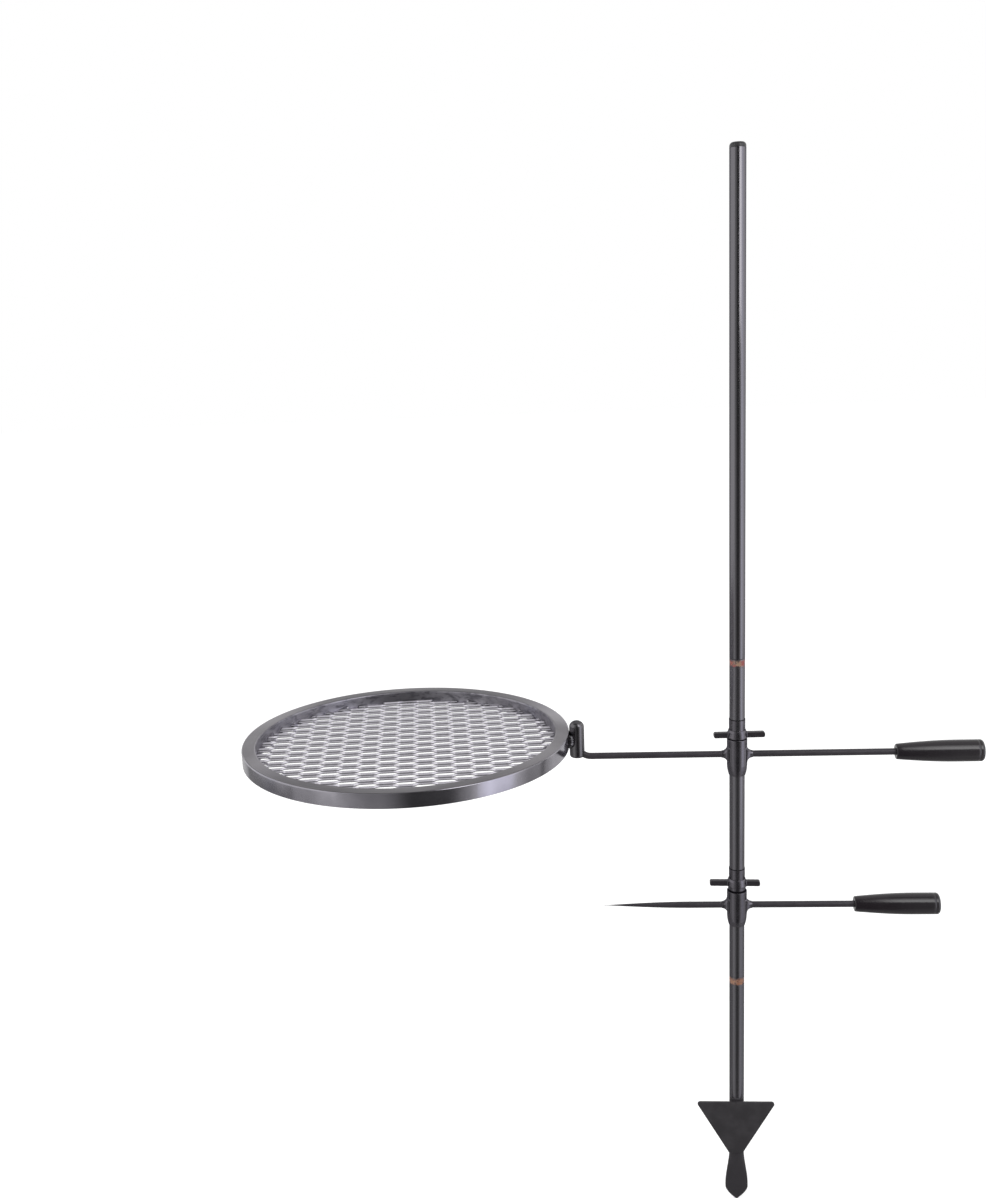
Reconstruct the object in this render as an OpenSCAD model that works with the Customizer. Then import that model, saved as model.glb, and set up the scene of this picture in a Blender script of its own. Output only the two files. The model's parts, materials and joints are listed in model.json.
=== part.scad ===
// Rotating camp grill: a ground stake that carries two swivelling arms.
// Origin: pole axis at the ground line, which is the top edge of the foot plate. +Z is up.
// At rest both arms lie along X: the grate and the skewer to -X, the grips to +X.

/* [Pole] */
// Outside diameter of both pole tubes
pole_d = 16; // [14:0.5:20]
// Wall of the pole tubes
pole_wall = 1.5; // [1.2:0.1:2]
// Height of the lower tube above the ground line
lower_pole_h = 499.4; // [470:0.1:560]
// Length of the upper tube with its cap
upper_pole_len = 505.1; // [300:0.1:600]
// Height of the spacer ring between the tubes
joint_ring_h = 8.5; // [4:0.5:14]
// Length of the spigot inside each tube
spigot_reach = 50; // [25:1:80]
// Height of the depth mark's centre above the ground line
depth_mark_z = 145.3; // [100:0.1:180]
// Height of the depth mark band
depth_mark_h = 9.5; // [4:0.5:14]
// Depth of the groove that the depth mark band fills
depth_mark_t = 0.4; // [0.2:0.1:0.6]
// Thickness of the cap's head on the top of the pole
cap_h = 5; // [4.5:0.5:10]
// Break on the edges where the upper tube meets the spacer ring
edge_break = 0.4; // [0.3:0.1:0.8]
// Rounding of the cap's edge
cap_round = 3.5; // [1:0.1:4]
// Length of the cap's plug in the tube
cap_plug = 12; // [5:1:30]

/* [Spike] */
// Length of the spike below the ground line
spike_len = 129; // [115:1:170]
// Length of the round stretch below the ground line
spike_round_len = 66; // [64:1:80]
// Greatest width of the flattened end
paddle_w = 25; // [20:0.5:32]
// Thickness of the flattened end
paddle_t = 5; // [3.5:0.5:7]
// Height of the blunt point at the tip
paddle_point_h = 14; // [8:1:20]
// Width of the tip's flat end
paddle_tip_w = 3.5; // [3.5:0.5:10]
// Width of the foot plate at the ground line
plate_w = 84.3; // [60:0.1:120]
// Height of the foot plate
plate_h = 63; // [40:1:64]
// Width of the foot plate at its lower edge
plate_foot_w = 15.4; // [12:0.1:30]
// How far the foot plate is welded off the pole's middle
plate_shift = -1.9; // [-2:0.1:2]
// Thickness of the foot plate
plate_t = 3; // [2:0.5:4]
// Rounding of the foot plate's upper corners
plate_round = 3; // [1:0.5:6]

/* [Clamps] */
// Radial running clearance of the sleeves
run_gap = 0.05; // [0.02:0.01:0.1]
// Wall of the split collet
collet_wall = 0.7; // [0.7:0.05:2]
// Wall of the collet's thin upper lip
lip_wall = 0.4; // [0.4:0.05:0.6]
// Width of the collet's slots
collet_slot_w = 1.5; // [0.8:0.1:2.5]
// Wall of the hub's neck under the wing collar
neck_wall = 0.5; // [0.5:0.05:1.5]
// Height of the hub's neck above its shoulder
neck_h = 6.8; // [6.2:0.1:9]
// Wall of the wing collar at its foot
collar_wall = 1.1; // [0.8:0.05:1.6]
// How far the hub stands out past the wing collar
hub_step = 0.1; // [0.1:0.05:1]
// Height of the hub's shoulder above the arm's centre line
hub_top = 17.2; // [14:0.1:22]
// Gap between the hub's shoulder and a tight wing collar
seam_gap = 1; // [0.4:0.1:1.4]
// Start of the hub's lower taper below the arm's centre line
hub_taper = 11.5; // [10.5:0.5:14]
// Depth of the hub below the arm's centre line
hub_drop = 22.6; // [20:0.1:30]
// Height of the lip that closes the hub's foot in on the pole
hub_lip_h = 1.6; // [1:0.1:3]
// Height of the wing collar above the top of its thread
collar_tip_h = 3; // [2:0.1:6]
// How far the upper wing collar is screwed up from its tight place
upper_collar_lift = 0; // [0:0.1:4.2]
// How far the lower wing collar is screwed up from its tight place
lower_collar_lift = 4.2; // [0:0.1:4.2]
// Height of the collet's lip above the wing collar
lip_h = 11.5; // [4:0.5:16]
// Distance from the pole axis to the tip of the long wing
wing_long = 28.8; // [22:0.1:36]
// Distance from the pole axis to the tip of the short wing
wing_short = 24.4; // [18:0.1:32]
// Height of a wing
wing_h = 5.7; // [5:0.1:6]
// Thickness of a wing
wing_t = 6; // [4:0.5:8]
// Height of the wings' middle above the foot of the wing collar
wing_rise = 3; // [3:0.1:4.5]
// Rounding of a wing's corners
wing_round = 2; // [1:0.1:2.2]
// Turn of the upper clamp's long wing from the grip's side at rest
upper_wing_turn = 2; // [-40:1:40]
// Turn of the lower clamp's long wing from the grip's side at rest
lower_wing_turn = 178; // [140:1:220]

/* [Arms] */
// Diameter of the arm rods
rod_d = 6.8; // [6:0.1:8]
// Height of the upper arm above the ground line
upper_arm_z = 403.8; // [360:0.1:440]
// Height of the lower arm above the ground line
lower_arm_z = 232.7; // [190:0.1:270]
// Distance from the pole axis to the tip of each rod's flared boss
boss_reach = 16.2; // [14:0.1:22]
// Radius of the flared boss at the hub
boss_r = 9.8; // [5:0.1:9.8]
// Distance from the pole axis to the upper grip
upper_grip_x = 162.8; // [120:0.1:220]
// Distance from the pole axis to the lower grip
lower_grip_x = 124; // [90:0.1:200]
// Length of a grip with its end cap
grip_len = 88.8; // [80:0.1:120]
// Diameter of a grip where the rod enters it
grip_small_d = 16.2; // [14:0.1:20]
// Greatest diameter of a grip
grip_d = 22.8; // [21:0.1:30]
// Length over which a grip swells to its greatest diameter
grip_swell = 62; // [40:1:65]
// Length of a grip's end cap
grip_cap_h = 5; // [4.5:0.5:9]
// Rounding of the end cap's edge
grip_round = 4; // [1:0.5:4]
// Width across the flats of the nut inside a grip
nut_af = 10; // [9:0.5:11]
// Thickness of the nut inside a grip
nut_h = 5; // [4:0.5:6]
// Distance from the pole axis to the skewer's tip
skewer_x = 142.7; // [110:0.1:200]
// Length of the skewer's taper
skewer_taper = 95; // [50:1:95]

/* [Grate] */
// Outside diameter of the grate
grate_d = 346; // [280:0.1:420]
// Width of the rim's flat top
rim_w = 14.8; // [10:0.1:20]
// Height of the rim
rim_h = 15.5; // [12:0.5:25]
// Thickness of the rim's sheet
rim_t = 1.6; // [1:0.1:2.5]
// Rounding of the rim's upper edges
rim_round = 1.5; // [0.5:0.1:2.5]
// Height of the rim's top above the arm's centre line
rim_top = 27.9; // [24:0.1:34]
// Width of the ring that carries the mesh
shelf_w = 4; // [3.5:0.1:10]
// Thickness of the ring that carries the mesh
shelf_t = 2.5; // [1.5:0.5:4]
// Thickness of the mesh
mesh_t = 2.5; // [1.5:0.5:4]
// Long pitch of the mesh's diamonds
mesh_long = 38.5; // [34:0.5:60]
// Short pitch of the mesh's diamonds
mesh_short = 19; // [17:0.5:30]
// Width of the mesh's strands
strand_w = 3.2; // [2:0.1:4.5]
// Turn of the mesh's long pitch from the arm's line
mesh_turn = 7.3; // [-45:0.1:45]
// Diameter of the socket barrel at the grate's side
socket_d = 15.6; // [13:0.1:20]
// Depth of the socket below the arm's centre line
socket_drop = 0.5; // [0:0.1:3]
// Height of the socket's top above the arm's centre line
socket_top = 39.5; // [34:0.1:50]
// Bend radius of the rod's turned-up end
bend_r = 14.5; // [12:0.1:16]
// Clearance between the rod's turned-up end and the socket
socket_gap = 0.3; // [0.2:0.05:0.6]

/* [Hidden] */
$fn = 96;

// Extra length by which a cutting tool runs past the face that it cuts
over = 1;
// Gap between two faces of one body that touch with no play
seat_gap = 0.05;
// Sides of a rounded stretch in a turned outline
round_steps = 6;

pole_r = pole_d / 2;
pole_bore_r = pole_r - pole_wall;
joint_z = lower_pole_h + joint_ring_h;
pole_top_z = joint_z + upper_pole_len;
rod_r = rod_d / 2;

collet_bore_r = pole_r + run_gap;
collet_r = collet_bore_r + collet_wall;
lip_r = collet_bore_r + lip_wall;
hub_bore_r = collet_r + run_gap;
neck_r = hub_bore_r + neck_wall;
collar_bore_r = neck_r + run_gap;
collar_r = collar_bore_r + collar_wall;
collar_lip_bore_r = lip_r + run_gap;
collar_lip_r = collar_lip_bore_r + lip_wall;
hub_r = collar_r + hub_step;
hub_lip_bore_r = collet_bore_r + run_gap;
hub_foot_r = hub_lip_bore_r + 0.5;

// Heights of a clamp's steps above the arm's centre line, with its wing collar tight
collar_z = hub_top + seam_gap;
thread_top_z = hub_top + neck_h + 0.4;
collar_top_z = thread_top_z + collar_tip_h;
collet_step_z = thread_top_z - 0.1;
collet_top_z = collar_top_z + lip_h;
collet_foot_z = -hub_drop + hub_lip_h + 0.1;
slot_floor_z = hub_top / 2;

// Rods start in a blind socket in the hub's wall
rod_start = hub_bore_r + 0.5;
boss_tip_r = rod_r + 0.4;
boss_side_r = (boss_r + boss_tip_r) / 2;
boss_x = hub_r - 0.6;
grip_bore_r = rod_r + seat_gap;
nut_pocket_r = nut_af / sqrt(3) + 0.3;
nut_x = grip_len - grip_cap_h - 12;
rod_end_x = nut_x + nut_h + 1.5;

grate_r = grate_d / 2;
rim_in_r = grate_r - rim_w;
rim_z = upper_arm_z + rim_top - rim_h;
shelf_z = rim_z;
mesh_z = shelf_z + shelf_t;
socket_r = socket_d / 2;
socket_bore_r = rod_r + socket_gap;
// The socket barrel stands just clear of the rim and is welded to it
socket_x = 167.2;
grate_x = socket_x + socket_r + socket_gap + grate_r;
peg_top = socket_top - 5;
bend_x = socket_x - bend_r;

paddle_bottom_w = paddle_w * 0.94;
spike_neck_z = -spike_round_len;

// Radius of a grip at a distance t from its small end
function grip_r(t) =
    grip_small_d / 2 + (grip_d - grip_small_d) / 2 * sin(90 * min(t / grip_swell, 1));

// Points of a quarter round, from the start angle, about a centre
function quarter(cx, cz, r, from) =
    [for (i = [0:round_steps]) [cx + r * cos(from + 90 * i / round_steps),
                                cz + r * sin(from + 90 * i / round_steps)]];

// Turns what is drawn round Z so that it lies along X
module along_x() {
    rotate([0, 90, 0]) children();
}

// A straight tube from z0 to z1
module tube(r_out, r_in, z0, z1) {
    translate([0, 0, z0])
        difference() {
            cylinder(r = r_out, h = z1 - z0);
            translate([0, 0, -over]) cylinder(r = r_in, h = z1 - z0 + 2 * over);
        }
}

// A bar with round edges, used for the slices of the flattened end
module stadium(w, t, z) {
    translate([0, 0, z])
        linear_extrude(0.2)
            union() {
                square([w - t, t], center = true);
                for (s = [-1, 1]) translate([s * (w - t) / 2, 0]) circle(d = t, $fn = 32);
            }
}

// The flattened end, drawn from the round neck down to the blunt point
module flattened_end() {
    shoulder_z = -spike_len + paddle_point_h;
    mid_z = (spike_neck_z + shoulder_z) / 2;
    hull() {
        translate([0, 0, spike_neck_z]) cylinder(r = pole_r, h = 0.2, $fn = 48);
        stadium((pole_d + paddle_w) / 2, (pole_d + paddle_t) / 2.6, mid_z);
    }
    hull() {
        stadium((pole_d + paddle_w) / 2, (pole_d + paddle_t) / 2.6, mid_z);
        stadium(paddle_w, paddle_t, shoulder_z + paddle_point_h / 2);
    }
    hull() {
        stadium(paddle_w, paddle_t, shoulder_z + paddle_point_h / 2);
        stadium(paddle_bottom_w, paddle_t, shoulder_z - paddle_point_h / 5);
    }
    hull() {
        stadium(paddle_bottom_w, paddle_t, shoulder_z - paddle_point_h / 5);
        stadium(paddle_tip_w, min(paddle_t * 0.6, paddle_tip_w - 0.5), -spike_len);
    }
}

module lower_pole() {
    color([0.12, 0.12, 0.13])
        difference() {
            union() {
                translate([0, 0, spike_neck_z]) cylinder(r = pole_r, h = lower_pole_h - spike_neck_z);
                flattened_end();
            }
            translate([0, 0, spike_neck_z + 4])
                cylinder(r = pole_bore_r, h = lower_pole_h - spike_neck_z);
            tube(pole_r + over, pole_r - depth_mark_t, depth_mark_z - depth_mark_h / 2,
                 depth_mark_z + depth_mark_h / 2);
        }
}

// The plate's outline, seen from the front
module plate_outline() {
    polygon(concat(
        quarter(plate_w / 2 - plate_round, -plate_round, plate_round, 0),
        quarter(-plate_w / 2 + plate_round, -plate_round, plate_round, 90),
        [[-plate_foot_w / 2, -plate_h], [plate_foot_w / 2, -plate_h]]));
}

module foot_plate() {
    color([0.17, 0.16, 0.17])
        translate([plate_shift, -pole_r - 0.02, 0])
            rotate([90, 0, 0]) linear_extrude(plate_t) plate_outline();
}

// Two weld beads in the corners between the pole and the plate's back
module foot_plate_welds() {
    bead_r = 2.4;
    bead_x = 5.4;
    color([0.14, 0.14, 0.14])
        difference() {
            for (s = [-1, 1])
                translate([s * bead_x, -pole_r + bead_r * 0.75, -plate_h + 4])
                    cylinder(r = bead_r, h = plate_h - 8);
            translate([0, 0, -plate_h]) cylinder(r = pole_r + 0.02, h = plate_h + over);
            translate([-pole_d, -pole_r - bead_r * 2 - 0.02, -plate_h])
                cube([2 * pole_d, bead_r * 2, plate_h + over]);
        }
}

module depth_mark() {
    color([0.45, 0.22, 0.14])
        tube(pole_r, pole_r - depth_mark_t, depth_mark_z - depth_mark_h / 2,
             depth_mark_z + depth_mark_h / 2);
}

module pole_spigot() {
    color([0.55, 0.55, 0.56])
        translate([0, 0, lower_pole_h - spigot_reach])
            rotate_extrude()
                polygon([[0, 0], [pole_bore_r - run_gap, 0],
                         [pole_bore_r - run_gap, 2 * spigot_reach + joint_ring_h - 2],
                         [pole_bore_r - 2, 2 * spigot_reach + joint_ring_h],
                         [0, 2 * spigot_reach + joint_ring_h]]);
}

module joint_ring() {
    color([0.48, 0.2, 0.2])
        translate([0, 0, lower_pole_h])
            rotate_extrude()
                polygon([[pole_bore_r, 0], [pole_r, 0], [pole_r, joint_ring_h - edge_break],
                         [pole_r - edge_break, joint_ring_h], [pole_bore_r, joint_ring_h]]);
}

module upper_pole() {
    tube_len = upper_pole_len - cap_h;
    color([0.12, 0.12, 0.13])
        translate([0, 0, joint_z])
            rotate_extrude()
                polygon([[pole_bore_r, 0], [pole_r - edge_break, 0], [pole_r, edge_break],
                         [pole_r, tube_len], [pole_bore_r, tube_len]]);
}

module pole_cap() {
    color([0.1, 0.1, 0.1])
        translate([0, 0, pole_top_z - cap_h])
            rotate_extrude()
                polygon(concat([[0, -cap_plug], [pole_bore_r - run_gap, -cap_plug],
                                [pole_bore_r - run_gap, 0], [pole_r, 0]],
                               quarter(pole_r - cap_round, cap_h - cap_round, cap_round, 0),
                               [[0, cap_h]]));
}

// Split sleeve that grips the pole when its wing collar is tight, and carries that collar
module collet(z, lift) {
    color([0.14, 0.14, 0.15])
        translate([0, 0, z + lift])
            difference() {
                rotate_extrude()
                    polygon([[collet_bore_r, collet_foot_z], [collet_r, collet_foot_z],
                             [collet_r, collet_step_z], [lip_r, collet_step_z],
                             [lip_r, collet_top_z], [collet_bore_r, collet_top_z]]);
                translate([-collet_slot_w / 2, -hub_r, slot_floor_z])
                    cube([collet_slot_w, 2 * hub_r, collet_top_z]);
            }
}

// Concave flare of a boss: half widths at the hub and at the tip, with the distance from the axis
function flare(root_r, tip_r) =
    [for (i = [0:8]) let (u = i / 8)
        [tip_r + (root_r - tip_r) * (1 - sin(90 * u)),
         boss_x + (boss_reach - boss_x) * (1 - cos(90 * u))]];

// Boss that flares from the rod to the hub's wall, along +X, taller than it is wide
module boss() {
    plan = concat([[boss_side_r, 0]], flare(boss_side_r, boss_tip_r));
    intersection() {
        along_x()
            rotate_extrude()
                polygon(concat([[0, 0], [boss_r, 0]], flare(boss_r, boss_tip_r), [[0, boss_reach]]));
        translate([0, 0, -boss_r - over])
            linear_extrude(2 * boss_r + 2 * over)
                polygon(concat([for (p = plan) [p[1], -p[0]]],
                               [for (i = [len(plan) - 1:-1:0]) [plan[i][1], plan[i][0]]]));
    }
}

module hub(z) {
    color([0.14, 0.14, 0.15])
        translate([0, 0, z])
            difference() {
                union() {
                    rotate_extrude()
                        polygon([[hub_lip_bore_r, -hub_drop], [hub_foot_r, -hub_drop],
                                 [hub_r - 1.2, -hub_drop * 0.88], [hub_r - 0.4, -hub_drop * 0.72],
                                 [hub_r, -hub_taper], [hub_r, hub_top], [neck_r, hub_top],
                                 [neck_r, hub_top + neck_h], [hub_lip_bore_r, hub_top + neck_h]]);
                    boss();
                    mirror([1, 0, 0]) boss();
                }
                translate([0, 0, -hub_drop + hub_lip_h])
                    cylinder(r = hub_bore_r, h = hub_drop + hub_top + neck_h + over);
                for (s = [0, 180])
                    rotate([0, 0, s])
                        translate([rod_start - seat_gap, 0, 0])
                            along_x() cylinder(r = rod_r + seat_gap, h = boss_reach);
            }
}

// Straight rod along +X from the hub to x_end
module arm_rod(x_end) {
    translate([rod_start, 0, 0]) along_x() cylinder(r = rod_r, h = x_end - rod_start);
}

// Outline of both wings, seen from the front, with the long one to +X
module wings_outline() {
    translate([-wing_short + wing_round, -wing_h / 2])
        square([wing_short + wing_long - 2 * wing_round, wing_h]);
    translate([-wing_short, -wing_h / 2 + wing_round])
        square([wing_short + wing_long, wing_h - 2 * wing_round]);
    for (x = [-wing_short + wing_round, wing_long - wing_round], s = [-1, 1])
        translate([x, s * (wing_h / 2 - wing_round)]) circle(r = wing_round, $fn = 32);
}

// Threaded collar with two wings that closes the collet
module wing_collar(z, turn, lift) {
    color([0.14, 0.14, 0.15])
        translate([0, 0, z + lift])
            rotate([0, 0, turn])
                difference() {
                    union() {
                        rotate_extrude()
                            polygon([[lip_r - over, collar_z], [collar_r, collar_z],
                                     [collar_r, collar_z + wing_rise / 2],
                                     [collar_bore_r + 0.45, thread_top_z],
                                     [collar_lip_r, collar_top_z], [lip_r - over, collar_top_z]]);
                        translate([0, wing_t / 2, collar_z + wing_rise])
                            rotate([90, 0, 0]) linear_extrude(wing_t) wings_outline();
                    }
                    translate([0, 0, collar_z - over])
                        cylinder(r = collar_bore_r, h = thread_top_z - collar_z + over);
                    translate([0, 0, thread_top_z - over])
                        cylinder(r = collar_lip_bore_r, h = collar_tip_h + 2 * over);
                }
}

// Grip with a bore for the rod and a pocket for the nut behind its end cap
module grip(x, z) {
    body_len = grip_len - grip_cap_h;
    steps = 16;
    color([0.1, 0.09, 0.1])
        translate([x, 0, z])
            along_x()
                difference() {
                    rotate_extrude()
                        polygon(concat([[0, 0], [grip_r(0) - 1, 0]],
                                       [for (i = [0:steps]) let (t = 1 + (grip_swell - 1) * i / steps)
                                           [grip_r(t), t]],
                                       [[grip_d / 2, body_len], [0, body_len]]));
                    translate([0, 0, -over]) cylinder(r = grip_bore_r, h = grip_len);
                    translate([0, 0, nut_x]) cylinder(r = nut_pocket_r, h = grip_len);
                }
}

// Hexagon nut on the rod's end
module grip_nut(x, z) {
    color([0.6, 0.6, 0.62])
        translate([x + nut_x + seat_gap, 0, z])
            along_x()
                difference() {
                    cylinder(r = nut_af / sqrt(3), h = nut_h, $fn = 6);
                    translate([0, 0, -over]) cylinder(r = rod_r + seat_gap, h = nut_h + 2 * over);
                }
}

// Pressed cap that closes the grip's end
module grip_cap(x, z) {
    cap_in = 3.5;
    color([0.1, 0.09, 0.1])
        translate([x + grip_len - grip_cap_h, 0, z])
            along_x()
                rotate_extrude()
                    polygon(concat([[0, -cap_in], [nut_pocket_r - seat_gap, -cap_in],
                                    [nut_pocket_r - seat_gap, 0], [grip_d / 2, 0]],
                                   quarter(grip_d / 2 - grip_round, grip_cap_h - grip_round,
                                           grip_round, 0),
                                   [[0, grip_cap_h]]));
}

// Rod that runs out to the grate and turns up into its socket
module grate_arm_rod() {
    color([0.13, 0.13, 0.14])
        translate([0, 0, upper_arm_z]) {
            mirror([1, 0, 0]) arm_rod(bend_x);
            translate([-bend_x, 0, bend_r])
                rotate([90, 0, 0])
                    rotate([0, 0, 180])
                        rotate_extrude(angle = 90) translate([bend_r, 0]) circle(r = rod_r);
            translate([-socket_x, 0, bend_r])
                rotate_extrude()
                    polygon([[0, 0], [rod_r, 0], [rod_r, peg_top - bend_r - 1],
                             [rod_r - 1, peg_top - bend_r], [0, peg_top - bend_r]]);
        }
}

module grip_rod(grip_x, z) {
    color([0.13, 0.13, 0.14])
        translate([0, 0, z]) arm_rod(grip_x + rod_end_x);
}

// Pointed rod for meat
module skewer() {
    steps = 12;
    tip_r = 0.3;
    start = skewer_x - skewer_taper;
    color([0.13, 0.13, 0.14])
        translate([0, 0, lower_arm_z])
            rotate([0, -90, 0])
                rotate_extrude()
                    polygon(concat([[0, rod_start], [rod_r, rod_start]],
                                   [for (i = [steps:-1:0]) let (t = skewer_taper * i / steps)
                                       [max(tip_r, rod_r * sin(90 * i / steps)), skewer_x - t]],
                                   [[0, skewer_x]]));
}

// Rolled sheet rim, open below, seen in section
module rim_section() {
    difference() {
        polygon(concat([[rim_in_r, 0], [grate_r, 0]],
                       quarter(grate_r - rim_round, rim_h - rim_round, rim_round, 0),
                       quarter(rim_in_r + rim_round, rim_h - rim_round, rim_round, 90)));
        translate([rim_in_r + rim_t, -over]) square([rim_w - 2 * rim_t, rim_h - rim_t + over]);
    }
}

module grate_rim() {
    color([0.42, 0.42, 0.44])
        translate([-grate_x, 0, rim_z]) rotate_extrude() rim_section();
}

module mesh_shelf() {
    color([0.4, 0.4, 0.42])
        translate([-grate_x, 0, 0])
            tube(rim_in_r - seat_gap, rim_in_r - shelf_w, shelf_z, shelf_z + shelf_t);
}

// Opening of one diamond, narrowed by half a strand on every side
module diamond() {
    half_long = mesh_long / 2;
    half_short = mesh_short / 2;
    reach = half_long * half_short / sqrt(pow(half_long, 2) + pow(half_short, 2));
    k = 1 - strand_w / 2 / reach;
    polygon([[half_long * k, 0], [0, half_short * k], [-half_long * k, 0], [0, -half_short * k]]);
}

module grate_mesh() {
    open_r = rim_in_r - shelf_w + 1;
    n_long = ceil(2 * open_r / mesh_long) + 1;
    n_short = ceil(2 * open_r / mesh_short) + 1;
    color([0.75, 0.75, 0.78])
        translate([-grate_x, 0, mesh_z])
            rotate([0, 0, mesh_turn])
                linear_extrude(mesh_t)
                    difference() {
                        circle(r = rim_in_r - 0.3);
                        intersection() {
                            circle(r = open_r);
                            for (i = [-n_long:n_long], j = [-n_short:n_short])
                                if ((i + j) % 2 == 0
                                    && norm([i * mesh_long / 2, j * mesh_short / 2]) < open_r - 4)
                                    translate([i * mesh_long / 2, j * mesh_short / 2]) diamond();
                        }
                    }
}

// Barrel that drops over the rod's turned-up end, slotted for the bend
module grate_socket() {
    dome = socket_r * 0.75;
    foot = min(socket_r * 0.5, socket_r - socket_bore_r - 0.1);
    h = socket_top + socket_drop;
    slot_h = bend_r + socket_drop - socket_gap;
    color([0.2, 0.2, 0.21])
        translate([-socket_x, 0, upper_arm_z - socket_drop])
            difference() {
                rotate_extrude()
                    polygon(concat([[0, 0]],
                                   quarter(socket_r - foot, foot, foot, -90),
                                   quarter(socket_r - dome, h - dome, dome, 0),
                                   [[0, h]]));
                translate([0, 0, -over])
                    cylinder(r = socket_bore_r, h = over + socket_drop + peg_top + socket_gap);
                translate([0, -socket_bore_r, -over]) cube([socket_d, 2 * socket_bore_r, slot_h + over]);
            }
}

// Two upright weld beads between the barrel and the rim
module socket_welds() {
    bead_r = 2;
    bead_y = 6.2;
    h = rim_h - 2 * rim_round;
    color([0.2, 0.2, 0.21])
        difference() {
            for (s = [-1, 1])
                translate([-socket_x - socket_r + 0.9, s * bead_y, rim_z + rim_round])
                    cylinder(r = bead_r, h = h);
            translate([-socket_x, 0, rim_z]) cylinder(r = socket_r + 0.02, h = rim_h);
            translate([-grate_x, 0, rim_z]) cylinder(r = grate_r + 0.02, h = rim_h, $fn = 192);
        }
}

module upper_collet() { collet(upper_arm_z, upper_collar_lift); }
module lower_collet() { collet(lower_arm_z, lower_collar_lift); }
module grate_arm_hub() { hub(upper_arm_z); }
module skewer_arm_hub() { hub(lower_arm_z); }
module upper_wing_collar() { wing_collar(upper_arm_z, upper_wing_turn, upper_collar_lift); }
module lower_wing_collar() { wing_collar(lower_arm_z, lower_wing_turn, lower_collar_lift); }
module grate_arm_grip_rod() { grip_rod(upper_grip_x, upper_arm_z); }
module skewer_arm_grip_rod() { grip_rod(lower_grip_x, lower_arm_z); }
module grate_arm_grip() { grip(upper_grip_x, upper_arm_z); }
module skewer_arm_grip() { grip(lower_grip_x, lower_arm_z); }
module grate_arm_grip_nut() { grip_nut(upper_grip_x, upper_arm_z); }
module skewer_arm_grip_nut() { grip_nut(lower_grip_x, lower_arm_z); }
module grate_arm_grip_cap() { grip_cap(upper_grip_x, upper_arm_z); }
module skewer_arm_grip_cap() { grip_cap(lower_grip_x, lower_arm_z); }

lower_pole();
foot_plate();
foot_plate_welds();
depth_mark();
pole_spigot();
joint_ring();
upper_pole();
pole_cap();
upper_collet();
grate_arm_hub();
grate_arm_rod();
grate_arm_grip_rod();
grate_arm_grip();
grate_arm_grip_nut();
grate_arm_grip_cap();
upper_wing_collar();
grate_rim();
mesh_shelf();
grate_mesh();
grate_socket();
socket_welds();
lower_collet();
skewer_arm_hub();
skewer();
skewer_arm_grip_rod();
skewer_arm_grip();
skewer_arm_grip_nut();
skewer_arm_grip_cap();
lower_wing_collar();
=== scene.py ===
"""Looks of the rotating camp grill: a ground stake that carries a round grate and a skewer on two arms."""
import json
import math

import bmesh
import bpy
from mathutils import Matrix, Vector

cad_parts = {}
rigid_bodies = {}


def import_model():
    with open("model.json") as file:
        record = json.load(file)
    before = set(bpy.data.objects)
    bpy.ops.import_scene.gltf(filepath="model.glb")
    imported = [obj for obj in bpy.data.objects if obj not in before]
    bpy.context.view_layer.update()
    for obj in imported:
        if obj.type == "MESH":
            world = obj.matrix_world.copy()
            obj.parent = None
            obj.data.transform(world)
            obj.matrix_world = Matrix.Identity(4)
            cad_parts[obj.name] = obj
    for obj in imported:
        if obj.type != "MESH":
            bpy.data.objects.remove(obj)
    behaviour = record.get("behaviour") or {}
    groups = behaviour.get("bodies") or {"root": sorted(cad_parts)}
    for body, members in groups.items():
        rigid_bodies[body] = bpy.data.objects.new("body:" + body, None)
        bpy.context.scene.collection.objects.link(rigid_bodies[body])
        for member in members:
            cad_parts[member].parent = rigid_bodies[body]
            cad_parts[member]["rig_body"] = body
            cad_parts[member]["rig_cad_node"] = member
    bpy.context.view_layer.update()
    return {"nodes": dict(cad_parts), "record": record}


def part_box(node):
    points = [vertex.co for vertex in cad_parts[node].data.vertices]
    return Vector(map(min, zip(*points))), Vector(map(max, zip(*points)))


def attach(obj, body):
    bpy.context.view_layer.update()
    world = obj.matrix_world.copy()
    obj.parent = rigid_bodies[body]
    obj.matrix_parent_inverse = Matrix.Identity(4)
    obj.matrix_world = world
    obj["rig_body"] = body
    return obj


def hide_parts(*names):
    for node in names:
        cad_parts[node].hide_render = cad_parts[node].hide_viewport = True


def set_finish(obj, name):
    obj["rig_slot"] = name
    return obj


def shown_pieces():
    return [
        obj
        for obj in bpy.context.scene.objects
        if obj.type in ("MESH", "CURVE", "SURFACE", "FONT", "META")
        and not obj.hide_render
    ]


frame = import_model()
nodes = frame["nodes"]
slot_of = {part["node"]: part["material_slot"] for part in frame["record"]["subparts"]}
MM = 0.001
SAME_SPOT = 0.001 * MM
TINY = 1e-9
FULL_TURN, RIGHT_ANGLE = 2 * math.pi, math.pi / 2


# Sizes from the frame

def low(node):
    """The lowest corner of a CAD node's box."""
    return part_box(node)[0]


def high(node):
    """The highest corner of a CAD node's box."""
    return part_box(node)[1]


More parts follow.
